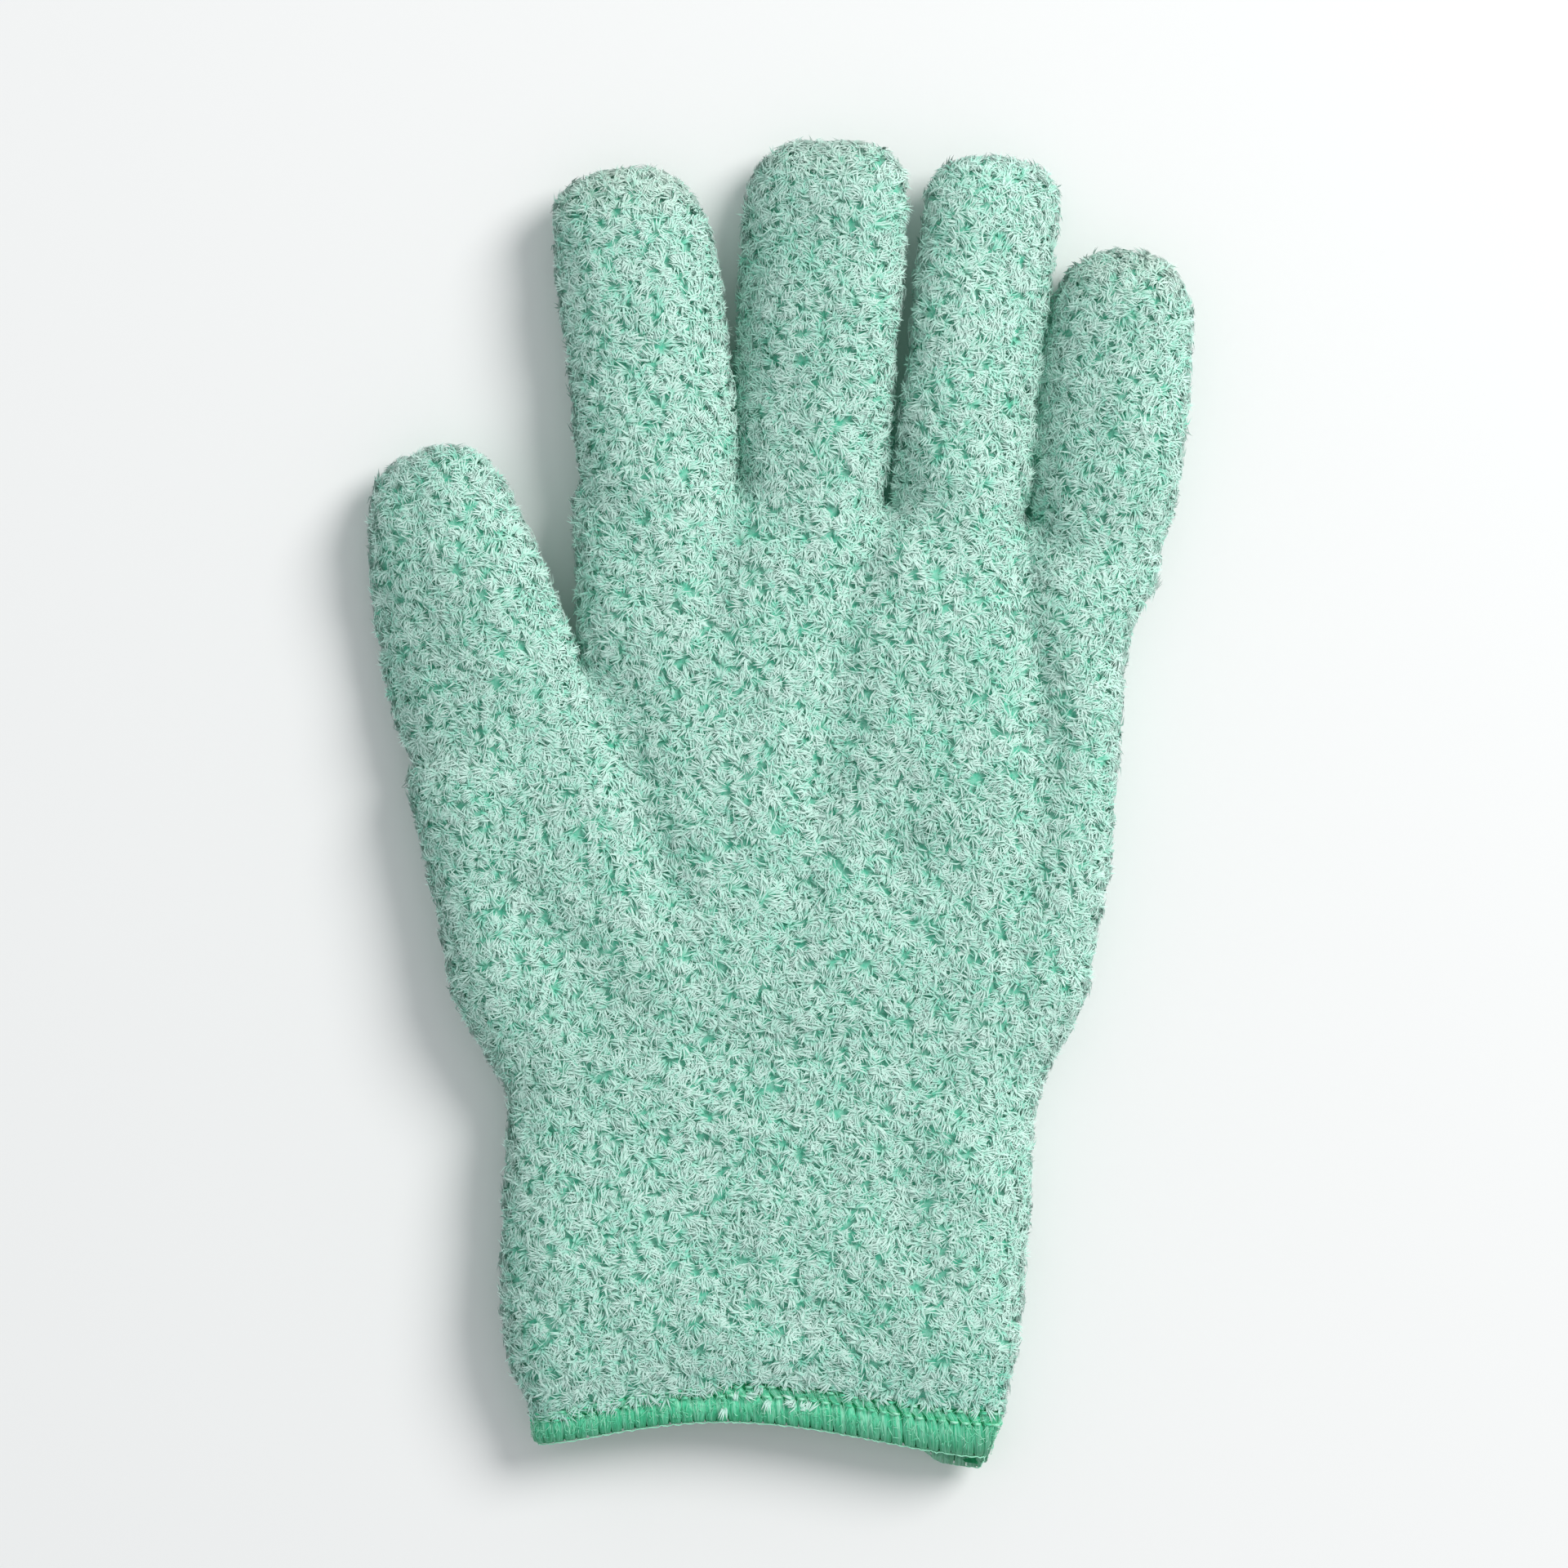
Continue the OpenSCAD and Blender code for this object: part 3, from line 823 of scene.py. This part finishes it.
def thread_material():
    """Woolly polyester thread: pale, slightly glossy plies over saturated green, darkened by the second
    colour place as painted shade.
    """
    material, tree, shader = new_material("woolly_overlock_thread")
    uv = tree.nodes.new("ShaderNodeUVMap")
    uv.uv_map = PALETTE_MAP
    split = tree.nodes.new("ShaderNodeSeparateXYZ")
    tree.links.new(uv.outputs["UV"], split.inputs["Vector"])
    stops = [(0.0, (0.02, 0.50, 0.24)), (0.45, (0.11, 0.68, 0.40)), (1.0, (0.40, 0.87, 0.64))]
    ply = colour_ramp(tree, stops, split.outputs["X"])
    # darker where the second place is low: painted shade towards the hem's edge, inside the cuff and at the
    # stitches' ends
    shade = colour_ramp(tree, [(0.0, (0.35, 0.62, 0.52)), (0.5, (1.0, 1.0, 1.0))], split.outputs["Y"])
    tree.links.new(mix_rgb(tree, "MULTIPLY", 1.0, ply, shade), shader.inputs["Base Color"])
    shader.inputs["Roughness"].default_value = 0.5
    shader.inputs["Sheen Weight"].default_value = 0.3
    shader.inputs["Specular IOR Level"].default_value = 0.4
    return material


def yarn_material(name, low, high, roughness):
    """Covered or spun yarn, with the fine slanting lines of its twist."""
    material, tree, shader = new_material(name)
    place = tree.nodes.new("ShaderNodeTexCoord")
    twist = tree.nodes.new("ShaderNodeTexWave")
    twist.bands_direction = "DIAGONAL"
    twist.inputs["Scale"].default_value = 900
    twist.inputs["Distortion"].default_value = 2.5
    tree.links.new(place.outputs["Object"], twist.inputs["Vector"])
    colour = colour_ramp(tree, [(0.2, low), (0.8, high)], twist.outputs["Fac"])
    tree.links.new(colour, shader.inputs["Base Color"])
    bump = tree.nodes.new("ShaderNodeBump")
    bump.inputs["Strength"].default_value = 0.4
    bump.inputs["Distance"].default_value = 0.0001
    tree.links.new(twist.outputs["Fac"], bump.inputs["Height"])
    tree.links.new(bump.outputs["Normal"], shader.inputs["Normal"])
    shader.inputs["Roughness"].default_value = roughness
    return material


PILE_MATERIAL = pile_material()
KNIT_MATERIAL = knit_material()
HEM_GROUND_PAINTED_SHADE = hem_ground_material()
THREAD_MATERIAL = thread_material()
ELASTIC_MATERIAL = yarn_material("covered_elastic", (0.55, 0.68, 0.62), (0.82, 0.90, 0.86), 0.55)
TAIL_MATERIAL = yarn_material("plush_yarn", (0.08, 0.48, 0.30), (0.45, 0.78, 0.66), 0.85)

# ---------------------------------------------------------------- skin pieces


def cut_skin(skin):
    """Cuts the skin into its regions and gives each piece its thickness."""
    middles, _ = face_data(skin)
    region = region_of(middles)
    pieces = {}
    for number, region_name in enumerate(REGIONS):
        mesh = bmesh.new()
        mesh.from_mesh(skin.data)
        mesh.faces.ensure_lookup_table()
        others = [mesh.faces[i] for i in np.nonzero(region != number)[0]]
        bmesh.ops.delete(mesh, geom=others, context="FACES")
        data = bpy.data.meshes.new(region_name + "_skin")
        mesh.to_mesh(data)
        mesh.free()
        piece = bpy.data.objects.new(region_name + "_skin", data)
        bpy.context.scene.collection.objects.link(piece)
        piece.data.materials.append(KNIT_MATERIAL)
        if region_name == "cuff":
            # Faces under the hem get the very dark ground, painted shade between the hem's threads.
            piece.data.materials.append(HEM_GROUND_PAINTED_SHADE)
            places, _ = face_data(piece)
            bare = places[:, 1] - edge_y(places[:, 0], places[:, 2]) < hem_width(places[:, 0])
            piece.data.polygons.foreach_set("material_index", bare.astype(np.int32))
        apply_modifier(piece, "SOLIDIFY", thickness=SKIN * MM, offset=-1, use_rim=True)
        piece.data.shade_smooth()
        attach(piece, region_name)
        pieces[region_name] = piece
    return pieces


def replace_cloth():
    """Each knitted CAD node is stood for by the skin that covers it."""
    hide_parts("upper_palm", "lower_palm", *[f"{name}_base" for name in DIGITS])
    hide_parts("cuff")
    for name in DIGITS:
        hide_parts(name + "_root_section")
        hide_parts(name + "_tip_section")


# ---------------------------------------------------------------- threads

STITCHES = 84
PITCH = 1.0 / STITCHES           # one stitch, as a share of the way round the mouth
THREAD_SIDES = 5
WALL_HEIGHTS = (0.5, 2, 3.5, 5, 6.5, 8, 9.5)  # where the cloth under the hem is measured


def way_round(f):
    """A start on the cuff's middle plane and the way outwards, at shares f round the mouth."""
    left, right, r = MOUTH_LEFT, MOUTH_RIGHT, HEM_HALF
    flat, arc = right - left - 2 * r, math.pi * r
    d = (f % 1) * 2 * (flat + arc)
    bounds = [d < flat, d < flat + arc, d < 2 * flat + arc]
    x = np.select(bounds, [left + r + d, right - r, right - r - (d - flat - arc)], left + r)
    turn = np.select(bounds, [0, (d - flat) / arc, 1], 1 + (d - 2 * flat - arc) / arc)
    angle = math.pi * (turn - 0.5)
    return x, np.cos(angle), np.sin(angle)


class Wall:
    """Places on the cuff's cloth: by share of the way round, height and depth in the cloth."""

    def __init__(self, skin, heights, edge):
        tree = BVHTree.FromObject(skin, bpy.context.evaluated_depsgraph_get())
        self.edge = edge
        self.heights = np.array(heights, float)
        self.shares = np.linspace(0, 1, 421)
        x, across, rise = way_round(self.shares)
        self.reach = []
        for height in self.heights:
            start_y = edge(x, MIDDLE_Z + HEM_HALF * rise) + height
            row = []
            for place in zip(x, start_y, across, rise):
                start = Vector((place[0], place[1], MIDDLE_Z)) * MM
                hit = tree.ray_cast(start, Vector((place[2], 0, place[3])))
                row.append(hit[3] / MM if hit[0] else np.nan)
            row = np.array(row)
            found = ~np.isnan(row)
            self.reach.append(np.interp(self.shares, self.shares[found], row[found]))

    def place(self, f, height, depth):
        """Points at shares f, heights above the edge and depths below the cloth's face."""
        f, height, depth = np.broadcast_arrays(np.asarray(f, float), height, depth)
        x, across, rise = way_round(f)
        rows = np.array([np.interp(f % 1, self.shares, row) for row in self.reach])
        level = np.interp(height, self.heights, np.arange(len(self.heights)))
        low = np.clip(level.astype(int), 0, max(len(rows) - 2, 0))
        share = level - low
        high = np.minimum(low + 1, len(rows) - 1)
        reach = (np.take_along_axis(rows, low[None], 0)[0] * (1 - share)
                 + np.take_along_axis(rows, high[None], 0)[0] * share) - depth
        px, pz = x + across * reach, MIDDLE_Z + rise * reach
        return np.stack([px, self.edge(px, pz) + height, np.maximum(pz, 0.35)], axis=-1)


def threads(name, paths, width, tint, along, around, closed=False, soft=0.0):
    """Round threads along paths, an array of [thread, point, xyz]. around is the direction
    that each thread's cross-section is turned from, and width may change along a thread.
    soft is added to the shading normals, as fine fibres shade by the form that they lie on."""
    count, steps = paths.shape[:2]
    if closed:
        ahead = unit(np.roll(paths, -1, 1) - np.roll(paths, 1, 1))
    else:
        ahead = unit(np.gradient(paths, axis=1))
    side = unit(np.cross(around, ahead))
    over = np.cross(ahead, side)
    radius = np.broadcast_to(np.asarray(width, float) / 2, (count, steps))[..., None]
    n = THREAD_SIDES
    rings, shades = [], []
    for k in range(n):
        a = 2 * math.pi * k / n
        out = side * math.cos(a) + over * math.sin(a)
        rings.append(paths + out * radius)
        shades.append(unit(out + soft))
    points = np.stack(rings, axis=2).reshape(-1, 3)
    shades = np.stack(shades, axis=2).reshape(-1, 3)
    last = steps if closed else steps - 1
    one = [(r * n + k, r * n + (k + 1) % n, (r + 1) % steps * n + (k + 1) % n, (r + 1) % steps * n + k)
           for r in range(last) for k in range(n)]
    end = (steps - 1) * n
    caps = [(0, k + 1, k) for k in range(1, n - 1)] + [(end, end + k, end + k + 1) for k in range(1, n - 1)]
    starts = (np.arange(count) * steps * n)[:, None, None]
    quads = (starts + np.array(one)[None]).reshape(-1, 4)
    tris = np.zeros((0, 3), int) if closed else (starts + np.array(caps)[None]).reshape(-1, 3)
    u = np.broadcast_to(tint, (count, steps))[..., None] + rng.normal(0, 0.05, (count, steps, n))
    u = np.clip(u, 0, 1)
    v = np.broadcast_to(np.asarray(along, float)[..., None], (count, steps, n))
    return fast_object(name, points, shades, quads, tris, np.column_stack([u.ravel(), v.ravel()]))


def finish_thread(piece, material, body, slot, *nodes):
    piece.data.materials.append(material)
    if body == "cuff":
        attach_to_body(piece, body)
    else:
        attach(piece, "cuff")
    if nodes:
        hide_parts(*nodes)


def run_of(f):
    """Direction round the mouth at shares f."""
    _, across, rise = way_round(f)
    return np.stack([-rise, np.zeros_like(rise), across], axis=-1)


EDGE_THREAD = 0.24   # width of the thread that locks the loops along the edge
LOOPER_PLIES = 9     # fine plies of woolly thread that make up one rib
PLY_WIDTH = 0.38
RIB_CROWN = 0.34     # how far a rib's middle stands above its sides
THREAD_SOFTNESS = 1.2
NEEDLE_WIDTH = 0.52


def looper_plies(wall, heights, depths, spreads, shift):
    """The plies of every stitch, along the given heights, depths and spreads."""
    paths, around = [], []
    steps = len(heights)
    for stitch in range(STITCHES):
        base = (stitch + rng.uniform(-0.06, 0.06)) * PITCH
        for ply in range(LOOPER_PLIES):
            hand = 2 * ply / (LOOPER_PLIES - 1) - 1
            f = base + PITCH * (hand * np.array(spreads) + shift + rng.normal(0, 0.02, steps))
            wave = RIB_CROWN * hand ** 2 + rng.uniform(-0.11, 0.11, steps)
            x, _, _ = way_round(f)
            scale = hem_width(x) / HEM_HEIGHT
            paths.append(wall.place(f, np.array(heights) * scale, np.array(depths) + wave))
            around.append(np.broadcast_to(run_of(base), (steps, 3)))
    paths = np.array(paths)
    away = paths - np.array([0, paths[:, :, 1].mean() + 2, MIDDLE_Z])
    away[:, :, 0] = 0
    return paths, np.array(around), unit(away) * THREAD_SOFTNESS


def make_hem(skin):
    """The overlocked hem: ribs of looper plies over the edge, held by two rows of stitches."""
    wall = Wall(skin, WALL_HEIGHTS, edge_y)
    # Outer face: from the upper needle row, across to the lower one, then down over the edge
    heights = np.array([6.9, 6.1, 5.1, 4.3, 3.2, 2.1, 1.0, 0.1, -0.4])
    depths = [-0.15, -0.45, -0.2, -0.5, -0.72, -0.75, -0.65, -0.4, 0.25]
    spreads = [0.20, 0.42, 0.25, 0.42, 0.46, 0.46, 0.42, 0.36, 0.34]
    shift = np.array([0.55, 0.3, 0.0, -0.05, -0.1, -0.14, -0.18, -0.2, -0.22])
    outer, around, soft = looper_plies(wall, heights, depths, spreads, shift)
    taper = np.array([0.6, 1, 1, 1, 1, 1, 1, 1, 0.9])
    tint = rng.uniform(0.15, 0.85, (len(outer), 1)) + rng.normal(0, 0.12, (len(outer), len(heights)))
    # Lower on the rib, towards and over the edge, the plies are painted darker: painted shade.
    along = np.broadcast_to(np.clip(heights / 7, 0, 1), (len(outer), len(heights)))
    ribs = threads("hem_upper_looper_plies", outer, PLY_WIDTH * taper, tint, along, around, soft=soft)
    finish_thread(ribs, THREAD_MATERIAL, "cuff", "overlock_thread", "hem_upper_looper_thread")
    # Inner face: round the edge and up inside
    heights = np.array([-0.35, -0.5, -0.2, 0.8, 2.2, 3.6, 4.9])
    depths = [0.15, 1.1, 2.1, 2.5, 2.6, 2.55, 2.35]
    spreads = [0.34, 0.38, 0.42, 0.45, 0.45, 0.4, 0.25]
    shift = np.array([-0.22, -0.2, -0.15, -0.1, 0, 0.05, 0.1])
    inner, around, soft = looper_plies(wall, heights, depths, spreads, shift)
    tint = rng.uniform(0, 1, (len(inner), 1))
    # The inner face's plies are painted darker still: painted shade inside the cuff.
    along = np.broadcast_to(np.clip(heights / 7, 0, 1) * 0.6, (len(inner), len(heights)))
    loops = threads("hem_lower_looper_plies", inner, PLY_WIDTH, tint, along, around, soft=soft)
    finish_thread(loops, THREAD_MATERIAL, "cuff", "overlock_thread", "hem_lower_looper_thread")
    # The thread that locks the loops along the edge, with a small peak at each stitch
    f = np.arange(STITCHES * 6) / (STITCHES * 6)
    peak = np.abs(np.sin(np.pi * f * STITCHES))
    path = wall.place(f, -0.5 - 0.22 * peak + rng.normal(0, 0.05, len(f)), 0.1 + 0.25 * peak)[None]
    edge = threads("hem_edge_loops", path, EDGE_THREAD, 0.9, np.full((1, len(f)), 0.75),
                   np.broadcast_to([0.0, 1.0, 0.0], path.shape), closed=True)
    finish_thread(edge, THREAD_MATERIAL, "cuff", "overlock_thread")
    # Two rows of needle stitches, each a short raised bead with a pit at both ends
    for side, height in (("left", 6.9), ("right", 5.0)):
        step = np.linspace(-0.36, 0.36, 7)
        stitch = np.arange(STITCHES)[:, None] + (0.5 if side == "left" else 0.0)
        f = (stitch + step[None] + rng.uniform(-0.05, 0.05, (STITCHES, 1))) * PITCH
        x, _, _ = way_round(f)
        up = height * hem_width(x) / HEM_HEIGHT + rng.uniform(-0.1, 0.1, (STITCHES, 1))
        beads = wall.place(f, up, np.broadcast_to([0.3, -0.55, -0.95, -1.05, -0.95, -0.55, 0.3], f.shape))
        width = NEEDLE_WIDTH * np.array([0.5, 0.9, 1, 1, 1, 0.9, 0.5])
        tint = rng.uniform(0.3, 1, (STITCHES, 1))
        # Each bead is painted darker towards its ends: painted shade in the pits.
        along = np.broadcast_to([0.3, 0.6, 0.9, 1, 0.9, 0.6, 0.3], f.shape)
        around = np.broadcast_to([0.0, 1.0, 0.0], beads.shape)
        row = threads(f"hem_{side}_needle_stitches", beads, width, tint, along, around)
        finish_thread(row, THREAD_MATERIAL, "cuff", "overlock_thread", f"hem_{side}_needle_thread")


FUZZ_FIBRES = 2000
FUZZ_WIDTH = 0.13


def make_fuzz(skin):
    """Loose fibres of the woolly looper thread over the hem's face."""
    wall = Wall(skin, WALL_HEIGHTS, edge_y)
    f = rng.uniform(0, 1, FUZZ_FIBRES)
    up = rng.uniform(0.1, 1.0, FUZZ_FIBRES) * hem_width(way_round(f)[0])
    up_way = rng.normal(0, 0.42, (FUZZ_FIBRES, 1))
    along = rng.normal(0, 0.16, (FUZZ_FIBRES, 1)) * PITCH
    t = np.array([-1.0, 0.0, 1.0])
    start = f[:, None] + along * t
    paths = wall.place(start, np.clip(up[:, None] + up_way * t, 0.7, 8.5), -0.98 - 0.22 * (1 - t ** 2))
    width = FUZZ_WIDTH * np.array([0.6, 1, 0.3])
    tint = rng.uniform(0.3, 1, (FUZZ_FIBRES, 1))
    around = np.broadcast_to(run_of(f)[:, None] + [0.0, 0.3, 0.0], paths.shape)
    fuzz = threads("hem_thread_fuzz", paths, width, tint, np.full((FUZZ_FIBRES, 3), 0.9), around)
    finish_thread(fuzz, THREAD_MATERIAL, "cuff", "overlock_thread")


ELASTIC_ROWS = 10
ELASTIC_PITCH = 5
ELASTIC_YARN = 0.8


def make_elastic(skin):
    """Rows of elastic yarn against the inside of the cuff."""
    f = np.linspace(0, 1, 160, endpoint=False)
    rings = []
    for row in range(ELASTIC_ROWS):
        y = WRIST_Y - 4 - ELASTIC_PITCH * row
        wall = Wall(skin, (0.0,), lambda x, z: y + 0 * x)
        rings.append(wall.place(f, 0.0, SKIN + ELASTIC_YARN / 2 + 0.25 + 0.1 * np.sin(f * 400)))
    rings = np.array(rings)
    piece = threads("cuff_elastic_yarns", rings, ELASTIC_YARN, rng.uniform(0.3, 0.8, (ELASTIC_ROWS, 1)),
                    np.broadcast_to(np.abs(np.sin(f * 251)), rings.shape[:2]),
                    np.broadcast_to([0.0, 1.0, 0.0], rings.shape), closed=True)
    finish_thread(piece, ELASTIC_MATERIAL, "blend", "elastic_yarn", "cuff_elastic")


STRAYS = 9


def make_strays(skin):
    """A few tufts of pile that poke out between the hem's ribs."""
    wall = Wall(skin, WALL_HEIGHTS, edge_y)
    f = 0.52 + rng.uniform(0.13, 0.26, STRAYS)
    roots = wall.place(f, rng.uniform(2.2, 4.8, STRAYS), -0.5)
    normals = np.broadcast_to([0.0, 0.15, 0.99], (STRAYS, 3))
    data = tuft_mesh(roots, normals, rng.uniform(0, 6.3, STRAYS), np.full(STRAYS, 0.9), np.zeros(STRAYS))
    piece = fast_object("cuff_pile_strays", *data)
    piece.data.materials.append(PILE_MATERIAL)
    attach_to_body(piece, "cuff")


def dress_yarn_tails():
    """The knotted yarn ends inside the fingertips keep their CAD shape."""
    for name, node in frame["nodes"].items():
        if name.endswith("_yarn_tail"):
            node.data.materials.clear()
            node.data.materials.append(TAIL_MATERIAL)


# ---------------------------------------------------------------- stage, light, camera


CAMERA_HEIGHT = 1.25         # metres above the glove's middle, far enough for a flat view
GLOVE_MIDDLE = 0.012         # metres
VIEW_WIDTH = 0.2853          # metres across the picture
VIEW_CENTRE = (0.0007, 0.0027)
SENSOR = 36


def make_camera():
    """Straight above the glove, with the fingertips at the picture's top."""
    data = bpy.data.cameras.new("camera")
    camera = bpy.data.objects.new("camera", data)
    bpy.context.scene.collection.objects.link(camera)
    data.sensor_width = SENSOR
    data.lens = SENSOR * CAMERA_HEIGHT / VIEW_WIDTH
    data.clip_end = 20
    camera.location = (*VIEW_CENTRE, CAMERA_HEIGHT + GLOVE_MIDDLE)
    bpy.context.scene.camera = camera


def area_light(name, place, target, size, power, colour):
    data = bpy.data.lights.new(name, "AREA")
    data.shape = "DISK"
    data.size = size
    data.energy = power
    data.color = colour
    light = bpy.data.objects.new(name, data)
    bpy.context.scene.collection.objects.link(light)
    light.location = place
    light.rotation_euler = (Vector(target) - Vector(place)).to_track_quat("-Z", "Y").to_euler()


FLOOR_HALF = 1500


def make_stage():
    """A pale table, an even surround and one large soft light."""
    corners = [(x * FLOOR_HALF, y * FLOOR_HALF, 0) for x, y in ((-1, -1), (1, -1), (1, 1), (-1, 1))]
    floor = new_object("floor", corners, [(0, 1, 2, 3)], smooth=False)
    material, _, shader = new_material("pale_table")
    shader.inputs["Base Color"].default_value = (0.88, 0.885, 0.885, 1)
    shader.inputs["Roughness"].default_value = 0.6
    floor.data.materials.append(material)
    world = bpy.data.worlds.new("world")
    world.use_nodes = True
    surround = world.node_tree.nodes["Background"]
    surround.inputs["Color"].default_value = (0.95, 0.98, 1.0, 1)
    surround.inputs["Strength"].default_value = 0.55
    bpy.context.scene.world = world
    area_light("key", (1.30, 0.95, 1.45), (0, 0, 0), size=1.15, power=38, colour=(1.0, 0.99, 0.97))
    bpy.context.scene.view_settings.view_transform = "Standard"


make_camera()
make_stage()
skin = make_skin()
skin_pieces = cut_skin(skin)
replace_cloth()
make_pile(skin)
make_hem(skin)
make_fuzz(skin)
make_elastic(skin)
make_strays(skin)
dress_yarn_tails()
bpy.data.objects.remove(skin)
